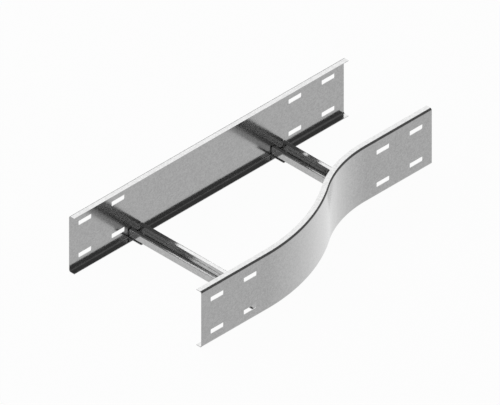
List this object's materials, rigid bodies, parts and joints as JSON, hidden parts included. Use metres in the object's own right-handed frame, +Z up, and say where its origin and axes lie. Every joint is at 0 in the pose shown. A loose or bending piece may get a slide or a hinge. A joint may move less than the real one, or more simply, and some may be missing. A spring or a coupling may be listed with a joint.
{
  "type": "cable tray reducer",
  "caption": "Ladder-type cable tray reducer in galvanised steel: one straight and one S-bent side rail joined by channel rungs.",
  "frame": {"origin": "middle of the footprint, on the surface that the rails stand on", "axes": "+X along the tray from the wide to the narrow end, +Y towards the straight rail, +Z up"},
  "size_m": [0.625, 0.302, 0.11],
  "materials": {
    "galvanised_steel": "galvanised sheet, satin, with a fine grain"
  },
  "bodies": {
    "root": {"straight_rail": "galvanised_steel", "bent_rail": "galvanised_steel", "wide_rung": "galvanised_steel", "narrow_rung": "galvanised_steel", "wide_straight_foot": "galvanised_steel", "wide_bent_foot": "galvanised_steel", "narrow_straight_foot": "galvanised_steel", "narrow_bent_foot": "galvanised_steel"}
  },
  "joints": []
}
